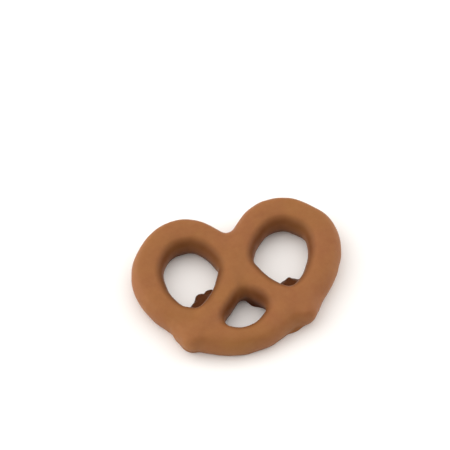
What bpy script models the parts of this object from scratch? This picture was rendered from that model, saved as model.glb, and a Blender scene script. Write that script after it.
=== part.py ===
"""A small pretzel covered in milk chocolate, lying flat, as one solid.

One strand of dough is drawn along the whole knot: from the tip of one arm through the
twist, round a lobe, along the belly, round the other lobe and back through the twist
to the other tip. The coat goes on as chocolate runs: everything is grown past the
coat's thickness, so that tight corners close, and drawn back to it, which leaves the
corners filled. It flows level on top, and gets the slow swells of set chocolate and a
flat base.
"""

import math

import bmesh
import bpy
from mathutils import Euler, Matrix, Vector
from mathutils.geometry import interpolate_bezier

MM = 0.001

# Driving dimensions, in millimetres: the whole knot, the strand of dough, which is as
# high all along and as wide as its stops say, and the coat
WIDTH = 45.4
DOUGH_WIDTH = 5.0
DOUGH_HEIGHT = 5.5
COAT = 1.1

# The route of the dough's middle, seen from above, with +Y towards the lobes. Each
# stop has its place as shares of half the width, the dough's width there as a share of
# the full strand's, and how far it is lifted, in millimetres.
HALF_WIDTH = WIDTH / 2
ROUTE = [
    ("left arm, tip",        -0.602, -0.518, 0.72, 0.8),
    ("left arm, outer",      -0.430, -0.375, 0.72, 0.5),
    ("left arm, inner",      -0.228, -0.180, 0.74, 0.1),
    ("twist, upper strand",  -0.020,  0.140, 0.84, 0.3),
    ("right neck",            0.160,  0.440, 0.86, 0.1),
    ("right lobe, back",      0.475,  0.630, 1.00, 0.0),
    ("right lobe, corner",    0.765,  0.475, 0.98, 0.0),
    ("right lobe, side",      0.845,  0.245, 1.02, 0.0),
    ("right flank",           0.650, -0.210, 0.90, 0.0),
    ("right of the belly",    0.315, -0.460, 0.98, 0.0),
    ("belly",                -0.110, -0.666, 0.60, 0.0),
    ("left of the belly",    -0.410, -0.565, 0.84, 0.0),
    ("left flank",           -0.685, -0.290, 0.64, 0.0),
    ("left lobe, side",      -0.845,  0.080, 0.94, 0.0),
    ("left lobe, corner",    -0.750,  0.430, 0.95, 0.0),
    ("left lobe, back",      -0.435,  0.615, 1.02, 0.0),
    ("left neck",            -0.195,  0.488, 0.84, 0.1),
    ("twist, lower strand",  -0.015,  0.140, 0.84, -0.2),
    ("right arm, inner",      0.170, -0.200, 0.70, 0.1),
    ("right arm, outer",      0.335, -0.380, 0.72, 0.5),
    ("right arm, tip",        0.453, -0.503, 0.70, 0.8),
]
STEPS_BETWEEN_STOPS = 6
HANDLE_SHARE = 0.39
RING_POINTS = 20

# Drops that ran down and set round the base, as they are before the coat grows over
# them. Each has its place as shares of half the width, its length and breadth in
# millimetres, and the turn of its length from +X in degrees.
FEET = [
    ("left hole, corner",        -0.505, -0.220, 3.0, 3.0, 0),
    ("left hole",                -0.370, -0.115, 3.6, 3.0, 34),
    ("right hole",                0.435, -0.155, 4.0, 3.6, 10),
    ("small hole",                0.085, -0.195, 0.8, 0.6, -35),
    ("under the left arm's tip", -0.625, -0.500, 1.2, 0.8, -30),
]
FOOT_HEIGHT = 0.5

# Pools where the coat filled the corners between strands, given in the same way, at
# the height of the strand's middle.
POOLS = [
    ("beside the left arm's tip",  -0.636, -0.436, 4.2, 3.0, -60),
    ("beside the right arm's tip",  0.530, -0.395, 3.6, 2.8, 60),
    ("twist",                       0.010,  0.150, 3.6, 4.0, 0),
    ("neck",                       -0.005,  0.400, 2.6, 2.6, 0),
]
POOL_HEIGHT = 4.4
DROP_SEGMENTS = 24

# How far the coat runs on before it is drawn back, how far its round underside lies
# below the base, and how high it flows level, with what rounding to the sides
RUN_ON = 1.3
SUNK = 1.0
LEVEL = 6.15
LEVEL_EDGE = 1.0

# The swells of the set chocolate: their depth and their length
SWELL = 0.25
SWELL_LENGTH = 6.0

# How finely the coat is fused, how it is softened and what share of its faces stays
VOXEL = 0.4
SOFTEN_ROUNDS = 9
FACES_KEPT = 0.16

MILK_CHOCOLATE = (0.275, 0.096, 0.022, 1.0)
SATIN = 0.45


def linked(name, mesh, collection):
    obj = bpy.data.objects.new(name, mesh)
    collection.objects.link(obj)
    return obj


def baked(obj):
    """The object's mesh as its modifiers leave it; the object itself is removed."""
    bpy.context.view_layer.update()
    graph = bpy.context.evaluated_depsgraph_get()
    mesh = bpy.data.meshes.new_from_object(obj.evaluated_get(graph))
    bpy.data.objects.remove(obj, do_unlink=True)
    return mesh


def on_plan(x, y, height):
    """A place given as shares of half the width and a height in millimetres."""
    return Vector((x * HALF_WIDTH, y * HALF_WIDTH, height)) * MM


def middle_height(lift):
    """How high the dough's middle is above the base, in millimetres."""
    return DOUGH_HEIGHT / 2 + COAT - SUNK + lift


def handle_directions(places):
    """At each stop, the direction halfway between the ways in and out."""
    ways = [(after - before).normalized() for before, after in zip(places, places[1:])]
    inner = [(before + after).normalized() for before, after in zip(ways, ways[1:])]
    return [ways[0], *inner, ways[-1]]


def strand_stations():
    """Smooth stations along the strand: a ring's place, turn and size at each."""
    places = [on_plan(x, y, middle_height(lift)) for _, x, y, _, lift in ROUTE]
    widths = [DOUGH_WIDTH * share for _, _, _, share, _ in ROUTE]
    directions = handle_directions(places)
    centres, sizes = [], []
    for index in range(len(places) - 1):
        start, end = places[index], places[index + 1]
        reach = (end - start).length * HANDLE_SHARE
        between = interpolate_bezier(
            start,
            start + directions[index] * reach,
            end - directions[index + 1] * reach,
            end,
            STEPS_BETWEEN_STOPS + 1,
        )
        for step in range(STEPS_BETWEEN_STOPS):
            share = step / STEPS_BETWEEN_STOPS
            ease = share * share * (3 - 2 * share)
            centres.append(between[step])
            sizes.append(widths[index] * (1 - ease) + widths[index + 1] * ease)
    centres.append(places[-1])
    sizes.append(widths[-1])
    stations = []
    for index, (centre, width) in enumerate(zip(centres, sizes)):
        before = centres[max(index - 1, 0)]
        after = centres[min(index + 1, len(centres) - 1)]
        turn = (after - before).to_track_quat("Z", "Y")
        scale = Vector((width, DOUGH_HEIGHT, width)) / 2 * MM
        stations.append(Matrix.LocRotScale(centre, turn, scale))
    return stations


def draw_strand(bm, stations):
    """Draws a ring out from one end of the strand to the other, with both ends closed."""
    start = bmesh.ops.create_circle(
        bm, cap_ends=True, segments=RING_POINTS, radius=1, matrix=stations[0]
    )
    rim = list({edge for vert in start["verts"] for edge in vert.link_edges})
    for here, there in zip(stations, stations[1:]):
        drawn = bmesh.ops.extrude_edge_only(bm, edges=rim)["geom"]
        verts = [item for item in drawn if isinstance(item, bmesh.types.BMVert)]
        rim = [item for item in drawn if isinstance(item, bmesh.types.BMEdge)]
        bmesh.ops.transform(bm, matrix=there @ here.inverted(), verts=verts)
    bmesh.ops.contextual_create(bm, geom=rim)
    bmesh.ops.recalc_face_normals(bm, faces=bm.faces)


def add_drop(bm, place, size, turn=0.0):
    """Adds an egg of this size, turned about its upright axis by so many degrees."""
    rotation = Euler((0, 0, math.radians(turn)))
    bmesh.ops.create_uvsphere(
        bm,
        u_segments=DROP_SEGMENTS,
        v_segments=DROP_SEGMENTS // 2,
        radius=1,
        matrix=Matrix.LocRotScale(place, rotation, size / 2),
    )


def knead_dough():
    """The strand with its round tips, and the drops that ran off it, as one mesh."""
    bm = bmesh.new()
    draw_strand(bm, strand_stations())
    for _, x, y, share, lift in (ROUTE[0], ROUTE[-1]):
        size = Vector((DOUGH_WIDTH * share, DOUGH_WIDTH * share, DOUGH_HEIGHT)) * MM
        add_drop(bm, on_plan(x, y, middle_height(lift)), size)
    for drops, height, middle in (
        (FEET, FOOT_HEIGHT, 0),
        (POOLS, POOL_HEIGHT, middle_height(0)),
    ):
        for _, x, y, length, breadth, turn in drops:
            size = Vector((length, breadth, height)) * MM
            add_drop(bm, on_plan(x, y, middle), size, turn)
    mesh = bpy.data.meshes.new("dough")
    bm.to_mesh(mesh)
    bm.free()
    return mesh


def add_fuse(obj, name):
    fuse = obj.modifiers.new(name, "REMESH")
    fuse.mode = "VOXEL"
    fuse.voxel_size = VOXEL * MM
    fuse.use_smooth_shade = True


def add_growth(obj, name, distance):
    growth = obj.modifiers.new(name, "DISPLACE")
    growth.strength = distance * MM
    growth.mid_level = 0


def dip_in_chocolate(dough, collection):
    """Grows the coat over the dough and fills the corners."""
    obj = linked("dip", dough, collection)
    add_growth(obj, "Run on", COAT + RUN_ON)
    add_fuse(obj, "Close the corners")
    add_growth(obj, "Draw back", -RUN_ON)
    add_fuse(obj, "Fuse the coat")
    soften = obj.modifiers.new("Soften", "SMOOTH")
    soften.iterations = SOFTEN_ROUNDS
    return baked(obj)


def flow_level(mesh):
    """Brings all that is above the level down to it, with a soft turn at its edge."""
    bm = bmesh.new()
    bm.from_mesh(mesh)
    for vert in bm.verts:
        room = LEVEL - vert.co.z / MM
        vert.co.z = (LEVEL - (room + math.hypot(room, LEVEL_EDGE)) / 2) * MM
    bm.to_mesh(mesh)
    bm.free()


def add_swells(obj):
    texture = bpy.data.textures.new("swells", "CLOUDS")
    texture.noise_scale = SWELL_LENGTH * MM
    texture.noise_depth = 0
    swells = obj.modifiers.new("Swells", "DISPLACE")
    swells.texture = texture
    swells.texture_coords = "LOCAL"
    swells.strength = SWELL * MM


def below_base(collection):
    """A block with its top at the surface that the pretzel lies on."""
    place = Matrix.Translation((0, 0, -WIDTH / 2 * MM))
    size = Matrix.Diagonal((2 * WIDTH * MM, 2 * WIDTH * MM, WIDTH * MM, 1))
    mesh = bpy.data.meshes.new("below_base")
    bm = bmesh.new()
    bmesh.ops.create_cube(bm, size=1, matrix=place @ size)
    bm.to_mesh(mesh)
    bm.free()
    cutter = linked("below_base", mesh, collection)
    cutter.hide_render = True
    cutter.display_type = "WIRE"
    return cutter


def milk_chocolate():
    material = bpy.data.materials.new("milk_chocolate")
    material.use_nodes = True
    shader = material.node_tree.nodes["Principled BSDF"]
    shader.inputs["Base Color"].default_value = MILK_CHOCOLATE
    shader.inputs["Roughness"].default_value = SATIN
    shader.inputs["Metallic"].default_value = 0.0
    return material


def centre_on_origin(obj):
    """Slides the object until its outline, seen from above, is centred on the origin."""
    bpy.context.view_layer.update()
    graph = bpy.context.evaluated_depsgraph_get()
    corners = obj.evaluated_get(graph).bound_box
    for axis in (0, 1):
        places = [corner[axis] for corner in corners]
        obj.location[axis] = -(min(places) + max(places)) / 2


def make_pretzel(parts, cutters):
    mesh = dip_in_chocolate(knead_dough(), parts)
    flow_level(mesh)
    mesh.name = "pretzel"
    mesh.materials.clear()
    mesh.materials.append(milk_chocolate())
    pretzel = linked("pretzel", mesh, parts)
    add_swells(pretzel)
    thin_out = pretzel.modifiers.new("Thin out", "DECIMATE")
    thin_out.ratio = FACES_KEPT
    flat_base = pretzel.modifiers.new("Flat base", "BOOLEAN")
    flat_base.operation = "DIFFERENCE"
    flat_base.object = below_base(cutters)
    centre_on_origin(pretzel)


def main():
    for obj in list(bpy.data.objects):
        bpy.data.objects.remove(obj, do_unlink=True)
    parts = bpy.data.collections.new("chocolate_covered_pretzel")
    cutters = bpy.data.collections.new("cutters")
    for collection in (parts, cutters):
        bpy.context.scene.collection.children.link(collection)
    make_pretzel(parts, cutters)


main()
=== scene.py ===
"""Looks of a small pretzel in a smooth milk chocolate coat, lying on a white ground.

The coat is modelled whole, as it would run and set: a strand of dough is swept along
the knot, the coat grows over it and over the drops that ran down, tight corners fill,
and the set surface gets its swells, its foot along the base and its small drips.
"""

import math

import bmesh
import bpy
import numpy as np
from mathutils import Euler, Matrix, Vector, noise
from mathutils.bvhtree import BVHTree
from mathutils.geometry import interpolate_bezier


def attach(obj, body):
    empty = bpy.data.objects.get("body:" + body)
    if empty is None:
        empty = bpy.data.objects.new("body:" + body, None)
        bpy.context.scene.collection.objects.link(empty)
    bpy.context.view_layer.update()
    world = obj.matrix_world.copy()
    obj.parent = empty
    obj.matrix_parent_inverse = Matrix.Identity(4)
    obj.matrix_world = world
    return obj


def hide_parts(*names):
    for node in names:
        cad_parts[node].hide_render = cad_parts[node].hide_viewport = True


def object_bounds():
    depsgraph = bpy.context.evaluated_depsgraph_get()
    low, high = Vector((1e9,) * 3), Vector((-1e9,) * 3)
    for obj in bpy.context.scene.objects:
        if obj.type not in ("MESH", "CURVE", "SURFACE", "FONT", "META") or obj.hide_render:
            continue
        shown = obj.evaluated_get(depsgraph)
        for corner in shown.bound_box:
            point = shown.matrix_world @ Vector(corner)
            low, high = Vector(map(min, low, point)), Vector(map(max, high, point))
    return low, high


bl_info = {
    "name": "Chocolate Covered Pretzel",
    "version": (1, 0, 0),
    "blender": (4, 5, 0),
    "location": "View3D > Sidebar > Pretzel",
    "description": "Dips a pretzel in milk chocolate and lays it on a white ground",
    "category": "Add Mesh",
}

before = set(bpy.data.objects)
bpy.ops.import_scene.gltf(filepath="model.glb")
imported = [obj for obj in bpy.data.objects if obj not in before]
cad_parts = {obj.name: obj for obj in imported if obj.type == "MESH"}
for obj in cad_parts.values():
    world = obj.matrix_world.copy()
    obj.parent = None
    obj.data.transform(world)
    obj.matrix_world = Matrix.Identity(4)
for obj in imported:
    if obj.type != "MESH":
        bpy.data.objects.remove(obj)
CAD_LOW, CAD_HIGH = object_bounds()

MM = 0.001
NODE = "pretzel"
BODY = "root"

# The route of the dough's middle, seen from above, with +Y towards the lobes. Each
# stop has its place as shares of half the width, the dough's thickness there as a
# share of the full strand's, and how far it is lifted, in millimetres.
ROUTE = [
    ("left arm, tip",        -0.602, -0.518, 0.72, 0.8),
    ("left arm, outer",      -0.430, -0.375, 0.72, 0.5),
    ("left arm, inner",      -0.228, -0.180, 0.74, 0.1),
    ("twist, upper strand",  -0.020,  0.140, 0.84, 0.3),
    ("right neck",            0.160,  0.440, 0.86, 0.1),
    ("right lobe, back",      0.475,  0.630, 1.00, 0.0),
    ("right lobe, corner",    0.765,  0.475, 0.98, 0.0),
    ("right lobe, side",      0.845,  0.245, 1.02, 0.0),
    ("right flank",           0.650, -0.210, 0.90, 0.0),
    ("right of the belly",    0.315, -0.460, 0.98, 0.0),
    ("belly",                -0.110, -0.666, 0.60, 0.0),
    ("left of the belly",    -0.410, -0.565, 0.84, 0.0),
    ("left flank",           -0.685, -0.290, 0.64, 0.0),
    ("left lobe, side",      -0.845,  0.080, 0.94, 0.0),
    ("left lobe, corner",    -0.750,  0.430, 0.95, 0.0),
    ("left lobe, back",      -0.435,  0.615, 1.02, 0.0),
    ("left neck",            -0.195,  0.488, 0.84, 0.1),
    ("twist, lower strand",  -0.015,  0.140, 0.84, -0.2),
    ("right arm, inner",      0.170, -0.200, 0.70, 0.1),
    ("right arm, outer",      0.335, -0.380, 0.72, 0.5),
    ("right arm, tip",        0.453, -0.503, 0.70, 0.8),
]

# The rings between two stops, and how far the curve's handles reach, as a share of the
# way between them.
STEPS_BETWEEN_STOPS = 8
HANDLE_SHARE = 0.39

# Drops that ran down and set round the base, as they are before the coat grows over
# them: their place as shares of half the width, their length and breadth in
# millimetres, and the turn of their length from +X in degrees. All have one height.
FEET = [
    ("left hole, corner",        -0.505, -0.220, 3.0, 3.0, 0),
    ("left hole",                -0.370, -0.115, 3.6, 3.0, 34),
    ("right hole",                0.435, -0.155, 4.0, 3.6, 10),
    ("small hole",                0.085, -0.195, 0.8, 0.6, -35),
    ("under the left arm's tip", -0.625, -0.500, 1.2, 0.8, -30),
    ("left of the right tip",     0.340, -0.550, 2.0, 0.8, 27),
]
FEET_HEIGHT = 0.5

# Pools where the coat filled the corners between strands, before it grows over them:
# place as shares of half the width, then length and breadth in millimetres, and turn.
# All have one height.
POOLS = [
    ("beside the left arm's tip",   -0.636, -0.436, 4.2, 3.0, -60),
    ("outside the left arm's tip",  -0.680, -0.425, 3.4, 1.4, -65),
    ("beside the right arm's tip",   0.541, -0.401, 4.0, 3.3, 60),
    ("left of the right arm's tip",  0.345, -0.535, 3.2, 1.4, 27),
    ("left hole, corner",           -0.590, -0.290, 2.0, 1.6, 0),
    ("twist",                        0.010,  0.150, 3.6, 4.0, 0),
    ("neck",                        -0.005,  0.400, 2.6, 2.6, 0),
]
POOLS_HEIGHT = 4.4

# Thin ragged drips round the base, as they are once set: place as shares of half the
# width, then length, breadth, height and height of the middle in millimetres, and turn.
DRIPS = [
    ("left hole, low",     -0.480, -0.125, 3.0, 1.5, 1.3, 0.3, 55),
    ("left hole, middle",  -0.400, -0.030, 2.2, 1.7, 1.3, 0.4, 20),
    ("left hole, high",    -0.305,  0.000, 2.4, 1.6, 1.2, 0.3, 0),
    ("right hole, nub",     0.440, -0.050, 1.1, 1.1, 1.6, 0.5, 0),
    ("right hole, foot",    0.520, -0.120, 2.4, 1.6, 1.2, 0.3, 30),
    ("belly, left foot",   -0.645, -0.535, 1.6, 1.0, 0.8, 0.2, -20),
]
DRIP_SOFT_ROUNDS = 3

# Feet, pools, tips and drips start as eggs of this many segments and rings.
EGG_SEGMENTS = 24
EGG_RINGS = 12

# The coat is first fused this much more coarsely than the finished surface.
FIRST_FUSE = 1.4

# Soft dents and rises of the set surface: place as shares of half the width, radius
# and depth in millimetres, dents with a minus. Each ends where it has faded to the
# share below.
DENTS = [
    ("right arm's edge, upper",      0.231, -0.548, 1.5,  0.08),
    ("right arm's edge, lower",      0.110, -0.637, 1.5,  0.08),
    ("above the right tip",          0.720, -0.130, 2.0,  0.08),
    ("right flank",                  0.860,  0.060, 1.8, -0.15),
    ("left of the right tip",        0.325, -0.610, 1.9, -0.15),
    ("twist",                        0.020,  0.120, 3.0,  0.12),
    ("belly, left front",           -0.360, -0.760, 3.0, -0.35),
    ("belly, front",                -0.080, -0.800, 3.4, -0.45),
    ("belly, right front",           0.240, -0.720, 3.0, -0.35),
]
DENT_END = 0.01

# Creases that the chocolate filled softly: place as shares of half the width, and
# radius in millimetres. Below are the height from which they are smoothed, also in
# millimetres, the rounds of it, and how much the radius shrinks from the first to the
# last, as a share.
SOFT_SPOTS = [
    ("beside the left arm's tip",  -0.720, -0.470, 4.4),
    ("beside the right arm's tip",  0.580, -0.440, 4.4),
    ("above the right arm's tip",   0.520, -0.380, 3.4),
]
SOFT_FROM = 0.9
SOFT_ROUNDS = 128
SOFT_FADE = 0.7

# The foot along the base comes and goes over this length, in millimetres. There is none
# where the surface's normal points sideways by less than the second number.
FOOT_PATCH = 3.0
FOOT_LEAN = 0.1

# The hidden sky sets where the painted shade of the depths shows.
# How the hidden sky is found: the directions tried, how far off the surface a ray
# starts and how far it looks, in millimetres, how squarely a surface faces up that
# needs no test, and the least share of the directions to measure against.
SKY_DIRECTIONS = 48
RAY_START = 0.08
RAY_REACH = 15
FACES_UP = 0.99
LEAST_SKY = 0.15

# The plan that the holes are found on: its cell in millimetres, its margin in cells,
# and how far the blur of the holes reaches, as a multiple of its radius.
PLAN_CELL = 0.2
PLAN_MARGIN = 4
BLUR_REACH = 3

# How strongly the painted shade along the holes' rims shows at a height, given as a share
# of the whole: full on top, strong along the foot, and weaker on the walls between. It
# fades where the surface faces down, and the last number says how late.
RIM_SHADE_AT_HEIGHTS = [
    (0.00, 0.80),
    (0.15, 0.70),
    (0.40, 0.30),
    (0.60, 0.35),
    (0.85, 0.70),
    (1.00, 1.00),
]
RIM_SHADE_UNDERNEATH = 1.3

# The range that most of a noise's values lie in, and the ranges over which the masks
# bring in the painted shade along the rims and the painted shade of the depths.
NOISE_RANGE = (0.3, 0.7)
RIM_SHADE_RANGE = (0.05, 0.27)
DEEP_SHADE_RANGE = (0.45, 0.9)

# The chocolate's index of refraction, and how far light goes into it in red, green and
# blue, as shares of the depth.
CHOCOLATE_IOR = 1.45
DEPTH_OF_COLOURS = (1.0, 0.4, 0.2)

# The sockets of a Mix node that mixes colours.
FIRST_COLOUR, SECOND_COLOUR, MIXED_COLOUR = 6, 7, 2

# How squarely a direction faces a shaded side of the tent where its shade begins and
# where it is full.
FRONT_SHADE_RANGE = (0, 0.8)
BACK_SHADE_RANGE = (0.5, 0.95)

# Half the ground's side, and the nearest that the camera sees, both in metres.
GROUND_REACH = 3.0
CAMERA_NEAR = 0.01
GROUND_ROUGHNESS = 0.9


class PretzelDough(bpy.types.PropertyGroup):
    """The baked knot under the coat."""

    half_width: bpy.props.FloatProperty(
        name="Half width",
        description="Half of the coated pretzel's width, which the route's shares are of",
        default=(CAD_HIGH.x - CAD_LOW.x) / 2,
        unit="LENGTH",
    )
    strand: bpy.props.FloatProperty(
        name="Strand",
        description="Width of the strand of dough where it is thickest",
        default=5.0 * MM,
        unit="LENGTH",
    )
    height: bpy.props.FloatProperty(
        name="Height",
        description="Height of the strand of dough, the same all along",
        default=5.5 * MM,
        unit="LENGTH",
    )
    ring_points: bpy.props.IntProperty(
        name="Ring points",
        description="Points round the strand",
        default=20,
    )


class PretzelCoat(bpy.types.PropertyGroup):
    """The chocolate's thickness and how it ran and set."""

    thickness: bpy.props.FloatProperty(
        name="Thickness",
        description="Thickness of the chocolate over the dough",
        default=1.1 * MM,
        unit="LENGTH",
    )
    run_on: bpy.props.FloatProperty(
        name="Run on",
        description="Radius to which tight corners fill",
        default=1.3 * MM,
        unit="LENGTH",
    )
    sunk: bpy.props.FloatProperty(
        name="Sunk",
        description="How far the round underside settled flat",
        default=1.0 * MM,
        unit="LENGTH",
    )
    level: bpy.props.FloatProperty(
        name="Level",
        description="Height to which the coat flowed level on top",
        default=6.15 * MM,
        unit="LENGTH",
    )
    level_edge: bpy.props.FloatProperty(
        name="Level edge",
        description="Rounding between the level top and the sides",
        default=1.0 * MM,
        unit="LENGTH",
    )
    swell: bpy.props.FloatProperty(
        name="Swell",
        description="Depth of the slow swells",
        default=0.25 * MM,
        unit="LENGTH",
    )
    swell_length: bpy.props.FloatProperty(
        name="Swell length",
        description="Length of the slow swells",
        default=6.0 * MM,
        unit="LENGTH",
    )
    ripple: bpy.props.FloatProperty(
        name="Ripple",
        description="Depth of the smaller waves between the swells",
        default=0.08 * MM,
        unit="LENGTH",
    )
    ripple_length: bpy.props.FloatProperty(
        name="Ripple length",
        description="Length of the smaller waves",
        default=2.4 * MM,
        unit="LENGTH",
    )
    foot: bpy.props.FloatProperty(
        name="Foot",
        description="How far the coat spreads along the base at most",
        default=0.45 * MM,
        unit="LENGTH",
    )
    foot_height: bpy.props.FloatProperty(
        name="Foot height",
        description="Height over which the foot tapers off",
        default=0.5 * MM,
        unit="LENGTH",
    )
    base_edge: bpy.props.FloatProperty(
        name="Base edge",
        description="Rounding of the edge round the flat base",
        default=0.12 * MM,
        unit="LENGTH",
    )
    # Width of the painted shade round the holes' rims.
    rim_shade_width: bpy.props.FloatProperty(
        name="Rim width",
        description="Width of the darker rim round the holes",
        default=2.6 * MM,
        unit="LENGTH",
    )
    voxel: bpy.props.FloatProperty(
        name="Voxel",
        description="Size of the faces of the finished surface",
        default=0.24 * MM,
        unit="LENGTH",
    )
    soften: bpy.props.IntProperty(
        name="Soften",
        description="Rounds of softening after the coat has filled the corners",
        default=24,
    )


class PretzelFinish(bpy.types.PropertyGroup):
    """The milk chocolate's colours and sheen, and the painted shade in its holes."""

    chocolate: bpy.props.FloatVectorProperty(
        name="Chocolate",
        description="Colour of most of the coat",
        subtype="COLOR",
        size=4,
        default=(0.272, 0.113, 0.035, 1.0),
    )
    warm: bpy.props.FloatVectorProperty(
        name="Warm",
        description="Colour of the redder patches",
        subtype="COLOR",
        size=4,
        default=(0.260, 0.098, 0.038, 1.0),
    )
    bloom: bpy.props.FloatVectorProperty(
        name="Bloom",
        description="Colour of the small paler flecks",
        subtype="COLOR",
        size=4,
        default=(0.345, 0.153, 0.055, 1.0),
    )
    # Painted shade where the coat turns down into the holes.
    rim: bpy.props.FloatVectorProperty(
        name="Rim",
        description="Colour where the coat turns down into the holes",
        subtype="COLOR",
        size=4,
        default=(0.090, 0.024, 0.004, 1.0),
    )
    # Painted shade deep in the holes and creases, where the coat hides the sky.
    deep: bpy.props.FloatVectorProperty(
        name="Deep",
        description="Colour deep in the holes and creases",
        subtype="COLOR",
        size=4,
        default=(0.060, 0.013, 0.003, 1.0),
    )
    roughness: bpy.props.FloatProperty(
        name="Roughness",
        description="Roughness of the satin surface",
        default=0.45,
        subtype="FACTOR",
    )
    unevenness: bpy.props.FloatProperty(
        name="Unevenness",
        description="How much the roughness varies up and down",
        default=0.05,
        subtype="FACTOR",
    )
    sheen: bpy.props.FloatProperty(
        name="Sheen",
        description="Strength of the surface's reflections",
        default=0.12,
        subtype="FACTOR",
    )
    patch_length: bpy.props.FloatProperty(
        name="Patch length",
        description="Size of the redder patches",
        default=10.0 * MM,
        unit="LENGTH",
    )
    fleck_length: bpy.props.FloatProperty(
        name="Fleck length",
        description="Size of the paler flecks",
        default=5.0 / 3 * MM,
        unit="LENGTH",
    )
    fleck_strength: bpy.props.FloatProperty(
        name="Fleck strength",
        description="Share of the bloom's colour in the palest flecks",
        default=0.35,
        subtype="FACTOR",
    )
    peel_length: bpy.props.FloatProperty(
        name="Peel length",
        description="Size of the orange peel's dimples",
        default=1.4 * MM,
        unit="LENGTH",
    )
    peel_depth: bpy.props.FloatProperty(
        name="Peel depth",
        description="Depth of the orange peel's dimples",
        default=0.03 * MM,
        unit="LENGTH",
    )
    grain_length: bpy.props.FloatProperty(
        name="Grain length",
        description="Size of the finest grain of the surface",
        default=0.35 * MM,
        unit="LENGTH",
    )
    grain_depth: bpy.props.FloatProperty(
        name="Grain depth",
        description="Depth of the finest grain of the surface",
        default=0.004 * MM,
        unit="LENGTH",
    )
    glow: bpy.props.FloatProperty(
        name="Glow",
        description="Share of the light that goes into the chocolate and comes out again",
        default=0.1,
        subtype="FACTOR",
    )
    glow_depth: bpy.props.FloatProperty(
        name="Glow depth",
        description="How far light goes into the chocolate",
        default=0.5 * MM,
        unit="LENGTH",
    )


class PretzelStage(bpy.types.PropertyGroup):
    """The ground, the light and the camera."""

    ground: bpy.props.FloatVectorProperty(
        name="Ground",
        description="Colour of the ground",
        subtype="COLOR",
        size=4,
        default=(0.95, 0.945, 0.94, 1.0),
    )
    light: bpy.props.FloatVectorProperty(
        name="Light",
        description="Colour of the light",
        subtype="COLOR",
        size=4,
        default=(1.0, 0.975, 0.945, 1.0),
    )
    overhead: bpy.props.FloatProperty(
        name="Overhead",
        description="Strength of the light from straight above",
        default=1.35,
    )
    sides: bpy.props.FloatProperty(
        name="Sides",
        description="Strength of the light from the sides, at the ground",
        default=3.2,
    )
    front_shade: bpy.props.FloatProperty(
        name="Front shade",
        description="Share of the light from the front right that is kept off",
        default=0.85,
        subtype="FACTOR",
    )
    back_shade: bpy.props.FloatProperty(
        name="Back shade",
        description="Share of the low light from the back that is kept off",
        default=0.9,
        subtype="FACTOR",
    )
    shade_turn: bpy.props.FloatProperty(
        name="Shade turn",
        description="How far right of the camera the shaded front side lies",
        default=math.radians(20),
        subtype="ANGLE",
    )
    turn: bpy.props.FloatProperty(
        name="Turn",
        description="Angle of the camera round the pretzel",
        default=math.radians(-15),
        subtype="ANGLE",
    )
    elevation: bpy.props.FloatProperty(
        name="Elevation",
        description="Angle of the camera above the pretzel's plane",
        default=math.radians(54),
        subtype="ANGLE",
    )
    view_width: bpy.props.FloatProperty(
        name="View width",
        description="Width of the picture at the pretzel",
        default=94.14 * MM,
        unit="LENGTH",
    )
    lens: bpy.props.FloatProperty(
        name="Lens",
        description="Focal length in millimetres",
        default=200.0,
        unit="CAMERA",
    )
    beside: bpy.props.FloatProperty(
        name="Beside",
        description="How far the pretzel's middle is right of the picture's middle",
        default=3.58 * MM,
        unit="LENGTH",
    )
    below: bpy.props.FloatProperty(
        name="Below",
        description="How far the pretzel's middle is below the picture's middle",
        default=11.15 * MM,
        unit="LENGTH",
    )


def linked(name, data):
    """A new object in the scene, with this mesh or camera."""
    obj = bpy.data.objects.new(name, data)
    bpy.context.scene.collection.objects.link(obj)
    return obj


def baked(obj):
    """The object's mesh as its modifiers leave it; the object itself is removed."""
    bpy.context.view_layer.update()
    graph = bpy.context.evaluated_depsgraph_get()
    mesh = bpy.data.meshes.new_from_object(obj.evaluated_get(graph))
    bpy.data.objects.remove(obj, do_unlink=True)
    return mesh


def on_plan(dough, x, y, height):
    """A place given as shares of the half width, and a height."""
    return Vector((x * dough.half_width, y * dough.half_width, height))


def middle_height(dough, coat):
    """The height of the dough's middle where it isn't lifted."""
    return dough.height / 2 + coat.thickness - coat.sunk


def route_stops(dough, coat):
    """The places of the dough's middle at the stops, and its radii there."""
    places, radii = [], []
    for _, x, y, thickness, lift in ROUTE:
        places.append(on_plan(dough, x, y, middle_height(dough, coat) + lift * MM))
        radii.append(dough.strand / 2 * thickness)
    return places, radii


def handle_directions(places):
    """At each stop, the direction halfway between the ways in and out."""
    ways = [(after - before).normalized() for before, after in zip(places, places[1:])]
    inner = [(before + after).normalized() for before, after in zip(ways, ways[1:])]
    return [ways[0], *inner, ways[-1]]


def eased(share):
    """The share with a soft start and a soft end."""
    return share * share * (3 - 2 * share)


def strand_stations(dough, coat):
    """Smooth stations along the strand: a ring's place, turn and size at each."""
    places, radii = route_stops(dough, coat)
    directions = handle_directions(places)
    centres, sizes = [], []
    for index in range(len(places) - 1):
        start, end = places[index], places[index + 1]
        reach = (end - start).length * HANDLE_SHARE
        between = interpolate_bezier(
            start,
            start + directions[index] * reach,
            end - directions[index + 1] * reach,
            end,
            STEPS_BETWEEN_STOPS + 1,
        )
        for step in range(STEPS_BETWEEN_STOPS):
            ease = eased(step / STEPS_BETWEEN_STOPS)
            centres.append(between[step])
            sizes.append(radii[index] * (1 - ease) + radii[index + 1] * ease)
    centres.append(places[-1])
    sizes.append(radii[-1])
    stations = []
    for index, (centre, size) in enumerate(zip(centres, sizes)):
        before = centres[max(index - 1, 0)]
        after = centres[min(index + 1, len(centres) - 1)]
        turn = (after - before).to_track_quat("Z", "Y")
        scale = Vector((size, dough.height / 2, size))
        stations.append(Matrix.LocRotScale(centre, turn, scale))
    return stations


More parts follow.
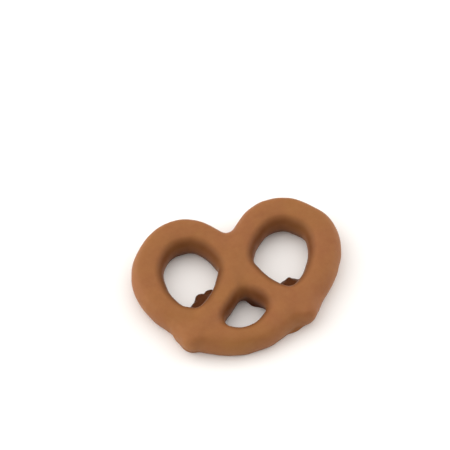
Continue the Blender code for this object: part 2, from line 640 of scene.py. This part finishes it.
def extrude_strand(bm, stations, ring_points):
    """Draws a ring out from one end of the strand to the other, with both ends closed."""
    start = bmesh.ops.create_circle(
        bm, cap_ends=True, segments=ring_points, radius=1, matrix=stations[0]
    )
    rim = list(dict.fromkeys(edge for vert in start["verts"] for edge in vert.link_edges))
    for here, there in zip(stations, stations[1:]):
        drawn = bmesh.ops.extrude_edge_only(bm, edges=rim)["geom"]
        verts = [item for item in drawn if isinstance(item, bmesh.types.BMVert)]
        rim = [item for item in drawn if isinstance(item, bmesh.types.BMEdge)]
        bmesh.ops.transform(bm, matrix=there @ here.inverted(), verts=verts)
    bmesh.ops.contextual_create(bm, geom=rim)


def add_drop(bm, place, size, turn=0.0):
    """Adds an egg of this size, turned about its upright axis by so many degrees."""
    bmesh.ops.create_uvsphere(
        bm,
        u_segments=EGG_SEGMENTS,
        v_segments=EGG_RINGS,
        radius=1,
        matrix=Matrix.LocRotScale(place, Euler((0, 0, math.radians(turn))), size / 2),
    )


def knead_dough(dough, coat):
    """The strand with its round tips, its feet and its pools, as one mesh."""
    bm = bmesh.new()
    extrude_strand(bm, strand_stations(dough, coat), dough.ring_points)
    bmesh.ops.recalc_face_normals(bm, faces=bm.faces)
    places, radii = route_stops(dough, coat)
    for end in (0, -1):
        across = 2 * radii[end]
        add_drop(bm, places[end], Vector((across, across, dough.height)))
    for _, x, y, length, breadth, turn in FEET:
        size = Vector((length, breadth, FEET_HEIGHT)) * MM
        add_drop(bm, on_plan(dough, x, y, 0), size, turn)
    for _, x, y, length, breadth, turn in POOLS:
        size = Vector((length, breadth, POOLS_HEIGHT)) * MM
        add_drop(bm, on_plan(dough, x, y, middle_height(dough, coat)), size, turn)
    mesh = bpy.data.meshes.new("dough")
    bm.to_mesh(mesh)
    bm.free()
    return mesh


def add_fuse(obj, name, voxel):
    """Fuses all that overlaps into one skin, with faces of this size."""
    fuse = obj.modifiers.new(name, "REMESH")
    fuse.mode = "VOXEL"
    fuse.voxel_size = voxel
    fuse.use_smooth_shade = True


def add_growth(obj, name, distance):
    """Moves the surface outwards by this distance, or inwards with a minus."""
    growth = obj.modifiers.new(name, "DISPLACE")
    growth.strength = distance
    growth.mid_level = 0


def add_softening(obj, name, rounds):
    """Smooths the surface by so many rounds."""
    soften = obj.modifiers.new(name, "SMOOTH")
    soften.iterations = rounds


def add_waves(obj, name, depth, length):
    """Waves in the surface, fixed to the object's own coordinates."""
    texture = bpy.data.textures.new(name, "CLOUDS")
    texture.noise_scale = length
    texture.noise_depth = 0
    waves = obj.modifiers.new(name, "DISPLACE")
    waves.texture = texture
    waves.texture_coords = "LOCAL"
    waves.strength = depth


def dip_in_chocolate(mesh, coat):
    """Grows the coat over the dough and fills the corners."""
    obj = linked("dip", mesh)
    add_growth(obj, "Run on", coat.thickness + coat.run_on)
    add_fuse(obj, "Close the corners", coat.voxel * FIRST_FUSE)
    add_growth(obj, "Draw back", -coat.run_on)
    add_fuse(obj, "Fuse the coat", coat.voxel)
    add_softening(obj, "Soften the coat", coat.soften)
    return baked(obj)


def above_zero(value, edge):
    """The value where it is above zero, and next to zero below, with a soft turn."""
    return (value + math.sqrt(value * value + edge * edge)) / 2


def flow_level(mesh, dough, coat):
    """Lets the coat flow level on top, with thin drips and soft waves where it set."""
    bm = bmesh.new()
    for _, x, y, length, breadth, height, middle, turn in DRIPS:
        place = on_plan(dough, x, y, middle * MM)
        add_drop(bm, place, Vector((length, breadth, height)) * MM, turn)
    bm.from_mesh(mesh)
    for vert in bm.verts:
        depth = coat.level - vert.co.z
        vert.co.z = coat.level - above_zero(depth, coat.level_edge)
    bm.to_mesh(mesh)
    bm.free()
    obj = linked("level", mesh)
    add_fuse(obj, "Fuse the drips", coat.voxel)
    add_softening(obj, "Soften the drips", DRIP_SOFT_ROUNDS)
    add_waves(obj, "Swells", coat.swell, coat.swell_length)
    add_waves(obj, "Ripples", coat.ripple, coat.ripple_length)
    return baked(obj)


def spread_foot(bm, coat):
    """Pushes the coat outwards along the base, here more and there less."""
    for vert in bm.verts:
        outward = Vector((vert.normal.x, vert.normal.y, 0))
        if outward.length < FOOT_LEAN:
            continue
        nearness = math.exp(-((vert.co.z / coat.foot_height) ** 2))
        patchy = 0.5 + 0.5 * noise.noise(vert.co / (FOOT_PATCH * MM))
        vert.co += outward.normalized() * coat.foot * nearness * patchy


def press_dents(bm, dough):
    """Presses the soft dents into the coat, and raises the soft rises."""
    for vert in bm.verts:
        for _, x, y, radius, depth in DENTS:
            away = vert.co - on_plan(dough, x, y, vert.co.z)
            share = math.exp(-((away.length / (radius * MM)) ** 2))
            if share > DENT_END:
                vert.co += vert.normal * depth * MM * share


def soften_spots(bm, dough):
    """Smooths the coat above its foot in the soft spots, most in the middle of each."""
    for _, x, y, radius in SOFT_SPOTS:
        spot = {}
        for vert in bm.verts:
            away = (vert.co - on_plan(dough, x, y, vert.co.z)).length
            if vert.co.z > SOFT_FROM * MM and away < radius * MM:
                spot[vert] = away
        for done in range(SOFT_ROUNDS):
            reach = radius * MM * (1 - SOFT_FADE * done / SOFT_ROUNDS)
            near = [vert for vert, away in spot.items() if away < reach]
            bmesh.ops.smooth_vert(
                bm, verts=near, factor=0.5,
                use_axis_x=True, use_axis_y=True, use_axis_z=True,
            )


def settle_on_base(bm, edge):
    """Flattens what is below the base, with a rounding of this size at the edge."""
    for vert in bm.verts:
        vert.co.z = above_zero(vert.co.z, edge)


def slide_to_frame(bm):
    """Slides the mesh to the CAD model's back, its base, and its middle across."""
    across = [vert.co.x for vert in bm.verts]
    aside = (CAD_LOW.x + CAD_HIGH.x - min(across) - max(across)) / 2
    back = CAD_HIGH.y - max(vert.co.y for vert in bm.verts)
    up = CAD_LOW.z - min(vert.co.z for vert in bm.verts)
    bmesh.ops.translate(bm, vec=Vector((aside, back, up)), verts=bm.verts)


def sky_directions(count):
    """Directions spread evenly over the sky."""
    directions = []
    for index in range(count):
        height = (index + 0.5) / count
        flat = math.sqrt(1 - height * height)
        turn = index * math.pi * (3 - math.sqrt(5))
        directions.append(Vector((flat * math.cos(turn), flat * math.sin(turn), height)))
    return directions


def hidden_sky(bm):
    """For each vertex, the share of what it faces of the sky that the coat hides.

    A vertex that faces down sees little of the sky, and its share fades to nothing.
    """
    tree = BVHTree.FromBMesh(bm)
    directions = sky_directions(SKY_DIRECTIONS)
    shares = []
    for vert in bm.verts:
        start = vert.co + vert.normal * RAY_START * MM
        total, hidden = 0.0, 0.0
        if vert.normal.z < FACES_UP:
            for direction in directions:
                weight = vert.normal.dot(direction)
                if weight <= 0:
                    continue
                total += weight
                if tree.ray_cast(start, direction, RAY_REACH * MM)[0] is not None:
                    hidden += weight
        shares.append(hidden / max(total, LEAST_SKY * SKY_DIRECTIONS))
    return shares


def holes_on_plan(bm, cell):
    """A grid with 1 where the coat has a hole at half its height, else 0, and its corner.

    What is free and can be reached from outside is no hole.
    """
    tree = BVHTree.FromBMesh(bm)
    columns = int((CAD_HIGH.x - CAD_LOW.x) / cell) + 2 * PLAN_MARGIN
    rows = int((CAD_HIGH.y - CAD_LOW.y) / cell) + 2 * PLAN_MARGIN
    margin = PLAN_MARGIN * cell
    corner = Vector((CAD_LOW.x - margin, CAD_LOW.y - margin, CAD_HIGH.z * 2))
    down = Vector((0, 0, -1))
    free = np.zeros((columns, rows), bool)
    for column in range(columns):
        for row in range(rows):
            place = corner + Vector(((column + 0.5) * cell, (row + 0.5) * cell, 0))
            met = tree.ray_cast(place, down)[0]
            free[column, row] = met is None or met.z < CAD_HIGH.z / 2
    outside = np.zeros_like(free)
    outside[0, :] = True
    reached = 0
    while outside.sum() > reached:
        reached = outside.sum()
        for shift, axis in ((1, 0), (-1, 0), (1, 1), (-1, 1)):
            outside |= np.roll(outside, shift, axis) & free
    return (free & ~outside).astype(float), corner


def blurred(grid, radius, cell):
    """The grid with each value spread over its surroundings."""
    reach = BLUR_REACH * radius
    steps = np.arange(-reach, reach + cell, cell)
    weights = np.exp(-(steps**2) / (2 * radius**2))
    weights /= weights.sum()
    for axis in (0, 1):
        grid = np.apply_along_axis(np.convolve, axis, grid, weights, "same")
    return grid


def read_between(grid, columns, rows):
    """The grid's values at places between its cells, in proportion to their nearness."""
    left, low = np.floor(columns).astype(int), np.floor(rows).astype(int)
    right, high = left + 1, low + 1
    aside, up = columns - left, rows - low
    lower = grid[left, low] * (1 - aside) + grid[right, low] * aside
    upper = grid[left, high] * (1 - aside) + grid[right, high] * aside
    return lower * (1 - up) + upper * up


def holes_nearby(bm, radius):
    """For each vertex, how much of its surroundings on the plan is a hole."""
    cell = PLAN_CELL * MM
    grid, corner = holes_on_plan(bm, cell)
    places = np.array([vert.co.xy - corner.xy for vert in bm.verts]) / cell
    columns, rows = places.T - 0.5
    return read_between(blurred(grid, radius, cell), columns, rows)


def painted_shade_masks(bm, coat):
    """Painted shade masks: each vertex's share of hidden sky, and its nearness to a hole's
    rim.
    """
    near = holes_nearby(bm, coat.rim_shade_width / 2)
    heights = np.array([vert.co.z for vert in bm.verts]) / CAD_HIGH.z
    near *= np.interp(heights, *zip(*RIM_SHADE_AT_HEIGHTS))
    upright = np.array([vert.normal.z for vert in bm.verts])
    near *= np.clip(RIM_SHADE_UNDERNEATH + RIM_SHADE_UNDERNEATH * upright, 0, 1)
    return {"hidden_sky": hidden_sky(bm), "painted_rim_shade": near}


def set_chocolate(mesh, dough, coat):
    """The last shaping of the coat: dents, foot, flat base and place, then its painted
    shade masks.
    """
    bm = bmesh.new()
    bm.from_mesh(mesh)
    bm.normal_update()
    press_dents(bm, dough)
    soften_spots(bm, dough)
    bm.normal_update()
    spread_foot(bm, coat)
    settle_on_base(bm, coat.base_edge)
    slide_to_frame(bm)
    bmesh.ops.recalc_face_normals(bm, faces=bm.faces)
    for face in bm.faces:
        face.smooth = True
    bm.normal_update()
    masks = painted_shade_masks(bm, coat)
    bm.to_mesh(mesh)
    bm.free()
    for name, shares in masks.items():
        layer = mesh.attributes.new(name, "FLOAT", "POINT")
        layer.data.foreach_set("value", shares)


def node_at(tree, kind, **settings):
    """A new node of this kind, with these properties."""
    node = tree.nodes.new(kind)
    for name, value in settings.items():
        setattr(node, name, value)
    return node


def noise_at(tree, place, length, detail, roughness=0.5):
    """Noise whose largest features have this length, read from this place."""
    node = node_at(tree, "ShaderNodeTexNoise", noise_dimensions="3D")
    node.inputs["Scale"].default_value = 1 / length
    node.inputs["Detail"].default_value = detail
    node.inputs["Roughness"].default_value = roughness
    tree.links.new(place, node.inputs["Vector"])
    return node.outputs["Fac"]


def ranged(tree, value, low, high, from_low=NOISE_RANGE[0], from_high=NOISE_RANGE[1]):
    """The value stretched from one range to another, and kept within it."""
    node = node_at(tree, "ShaderNodeMapRange")
    node.inputs["From Min"].default_value = from_low
    node.inputs["From Max"].default_value = from_high
    node.inputs["To Min"].default_value = low
    node.inputs["To Max"].default_value = high
    tree.links.new(value, node.inputs["Value"])
    return node.outputs["Result"]


def mixed(tree, share, first, second):
    """Two colours, each a colour or a link, mixed by a linked share."""
    node = node_at(tree, "ShaderNodeMix", data_type="RGBA")
    tree.links.new(share, node.inputs["Factor"])
    for number, colour in ((FIRST_COLOUR, first), (SECOND_COLOUR, second)):
        if isinstance(colour, bpy.types.NodeSocket):
            tree.links.new(colour, node.inputs[number])
        else:
            node.inputs[number].default_value = tuple(colour)
    return node.outputs[MIXED_COLOUR]


def add_bump(tree, height, distance, under=None):
    """A bump of this height in metres, on top of the one under it."""
    node = node_at(tree, "ShaderNodeBump")
    node.inputs["Strength"].default_value = 1
    node.inputs["Distance"].default_value = distance
    tree.links.new(height, node.inputs["Height"])
    if under is not None:
        tree.links.new(under, node.inputs["Normal"])
    return node.outputs["Normal"]


def milk_chocolate(finish):
    """Satin milk chocolate: patches, flecks, painted shade at rims and depths, orange
    peel, grain.
    """
    material = bpy.data.materials.new("milk_chocolate")
    material.use_nodes = True
    tree = material.node_tree
    shader = tree.nodes["Principled BSDF"]
    place = node_at(tree, "ShaderNodeTexCoord").outputs["Object"]
    patches = noise_at(tree, place, finish.patch_length, detail=2)
    colour = mixed(tree, ranged(tree, patches, 0, 1), finish.chocolate, finish.warm)
    flecks = noise_at(tree, place, finish.fleck_length, detail=4, roughness=0.65)
    bloomed = ranged(tree, flecks, 0, finish.fleck_strength)
    colour = mixed(tree, bloomed, colour, finish.bloom)
    # Painted shade: darker along the holes' rims and where the coat hides the sky.
    for mask, mask_range, darker in (
        ("painted_rim_shade", RIM_SHADE_RANGE, finish.rim),
        ("hidden_sky", DEEP_SHADE_RANGE, finish.deep),
    ):
        share = node_at(tree, "ShaderNodeAttribute", attribute_name=mask).outputs["Fac"]
        colour = mixed(tree, ranged(tree, share, 0, 1, *mask_range), colour, darker)
    tree.links.new(colour, shader.inputs["Base Color"])
    uneven = noise_at(tree, place, finish.fleck_length, detail=3)
    least = finish.roughness - finish.unevenness
    most = finish.roughness + finish.unevenness
    tree.links.new(ranged(tree, uneven, least, most), shader.inputs["Roughness"])
    dimples = noise_at(tree, place, finish.peel_length, detail=3)
    peel = add_bump(tree, dimples, finish.peel_depth)
    grains = noise_at(tree, place, finish.grain_length, detail=2)
    grain = add_bump(tree, grains, finish.grain_depth, peel)
    tree.links.new(grain, shader.inputs["Normal"])
    shader.inputs["IOR"].default_value = CHOCOLATE_IOR
    shader.inputs["Specular IOR Level"].default_value = finish.sheen
    shader.inputs["Subsurface Weight"].default_value = finish.glow
    shader.inputs["Subsurface Radius"].default_value = DEPTH_OF_COLOURS
    shader.inputs["Subsurface Scale"].default_value = finish.glow_depth
    return material


class PRETZEL_OT_coat(bpy.types.Operator):
    """Sweep the dough, dip it in milk chocolate and let it set"""

    bl_idname = "pretzel.coat"
    bl_label = "Chocolate Coat"

    def execute(self, context):
        scene = context.scene
        mesh = knead_dough(scene.pretzel_dough, scene.pretzel_coat)
        mesh = dip_in_chocolate(mesh, scene.pretzel_coat)
        mesh = flow_level(mesh, scene.pretzel_dough, scene.pretzel_coat)
        mesh.name = "chocolate_coat"
        set_chocolate(mesh, scene.pretzel_dough, scene.pretzel_coat)
        mesh.materials.append(milk_chocolate(scene.pretzel_finish))
        obj = linked("chocolate_coat", mesh)
        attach(obj, BODY)
        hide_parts(NODE)
        return {"FINISHED"}


def lay_ground(stage):
    """A wide plain ground."""
    mesh = bpy.data.meshes.new("ground")
    bm = bmesh.new()
    bmesh.ops.create_grid(bm, x_segments=1, y_segments=1, size=GROUND_REACH)
    bm.to_mesh(mesh)
    bm.free()
    material = bpy.data.materials.new("white_ground")
    material.use_nodes = True
    shader = material.node_tree.nodes["Principled BSDF"]
    shader.inputs["Base Color"].default_value = stage.ground
    shader.inputs["Roughness"].default_value = GROUND_ROUGHNESS
    mesh.materials.append(material)
    ground = linked("ground", mesh)


def camera_back(stage):
    """The direction from the pretzel to the camera."""
    flat = math.cos(stage.elevation)
    return Vector(
        (
            math.sin(stage.turn) * flat,
            -math.cos(stage.turn) * flat,
            math.sin(stage.elevation),
        )
    )


def shaded(tree, direction, strength, turn, shade, start, full):
    """The light's strength with less of it from the side that lies at this turn."""
    facing = node_at(tree, "ShaderNodeVectorMath", operation="DOT_PRODUCT")
    tree.links.new(direction, facing.inputs[0])
    facing.inputs[1].default_value = (math.sin(turn), -math.cos(turn), 0)
    kept = ranged(tree, facing.outputs["Value"], 1, 1 - shade, start, full)
    product = node_at(tree, "ShaderNodeMath", operation="MULTIPLY")
    tree.links.new(strength, product.inputs[0])
    tree.links.new(kept, product.inputs[1])
    return product.outputs[0]


def light_studio(stage):
    """A light tent, brighter at the sides than overhead, and shaded on two sides."""
    world = bpy.data.worlds.new("tent")
    world.use_nodes = True
    tree = world.node_tree
    background = tree.nodes["Background"]
    background.inputs["Color"].default_value = stage.light
    direction = node_at(tree, "ShaderNodeTexCoord").outputs["Generated"]
    height = node_at(tree, "ShaderNodeSeparateXYZ")
    tree.links.new(direction, height.inputs[0])
    strength = ranged(tree, height.outputs["Z"], stage.sides, stage.overhead, 0, 1)
    front = stage.turn + stage.shade_turn
    shade = stage.front_shade
    strength = shaded(tree, direction, strength, front, shade, *FRONT_SHADE_RANGE)
    back = stage.turn + math.pi
    shade = stage.back_shade
    strength = shaded(tree, direction, strength, back, shade, *BACK_SHADE_RANGE)
    tree.links.new(strength, background.inputs["Strength"])
    bpy.context.scene.world = world


def place_camera(stage):
    """The camera at the photograph's angle, with the pretzel at the photograph's place."""
    middle = (CAD_LOW + CAD_HIGH) / 2
    back = camera_back(stage)
    turned = back.to_track_quat("Z", "Y")
    data = bpy.data.cameras.new("camera")
    data.lens = stage.lens
    data.clip_start = CAMERA_NEAR
    distance = stage.view_width * stage.lens / data.sensor_width
    aim = middle - turned @ Vector((stage.beside, -stage.below, 0))
    camera = linked("camera", data)
    camera.rotation_euler = turned.to_euler()
    camera.location = aim + back * distance
    bpy.context.scene.camera = camera


class PRETZEL_OT_stage(bpy.types.Operator):
    """Lay the ground, light the studio and place the camera"""

    bl_idname = "pretzel.stage"
    bl_label = "Stage"

    def execute(self, context):
        stage = context.scene.pretzel_stage
        lay_ground(stage)
        light_studio(stage)
        place_camera(stage)
        context.scene.view_settings.view_transform = "Standard"
        return {"FINISHED"}


class PRETZEL_PT_sidebar(bpy.types.Panel):
    """Sizes, colours and steps of the chocolate covered pretzel"""

    bl_label = "Chocolate Covered Pretzel"
    bl_idname = "PRETZEL_PT_sidebar"
    bl_space_type = "VIEW_3D"
    bl_region_type = "UI"
    bl_category = "Pretzel"

    def draw(self, context):
        scene = context.scene
        for group, operator in (
            (scene.pretzel_dough, None),
            (scene.pretzel_coat, None),
            (scene.pretzel_finish, "pretzel.coat"),
            (scene.pretzel_stage, "pretzel.stage"),
        ):
            box = self.layout.box()
            for name in group.bl_rna.properties.keys():
                if name not in ("rna_type", "name"):
                    box.prop(group, name)
            if operator:
                box.operator(operator)


GROUPS = {
    "pretzel_dough": PretzelDough,
    "pretzel_coat": PretzelCoat,
    "pretzel_finish": PretzelFinish,
    "pretzel_stage": PretzelStage,
}
CLASSES = (*GROUPS.values(), PRETZEL_OT_coat, PRETZEL_OT_stage, PRETZEL_PT_sidebar)


def register():
    for cls in CLASSES:
        bpy.utils.register_class(cls)
    for name, group in GROUPS.items():
        setattr(bpy.types.Scene, name, bpy.props.PointerProperty(type=group))


def unregister():
    for name in GROUPS:
        delattr(bpy.types.Scene, name)
    for cls in reversed(CLASSES):
        bpy.utils.unregister_class(cls)


def main():
    register()
    bpy.ops.pretzel.coat()
    bpy.ops.pretzel.stage()


if __name__ == "__main__":
    main()
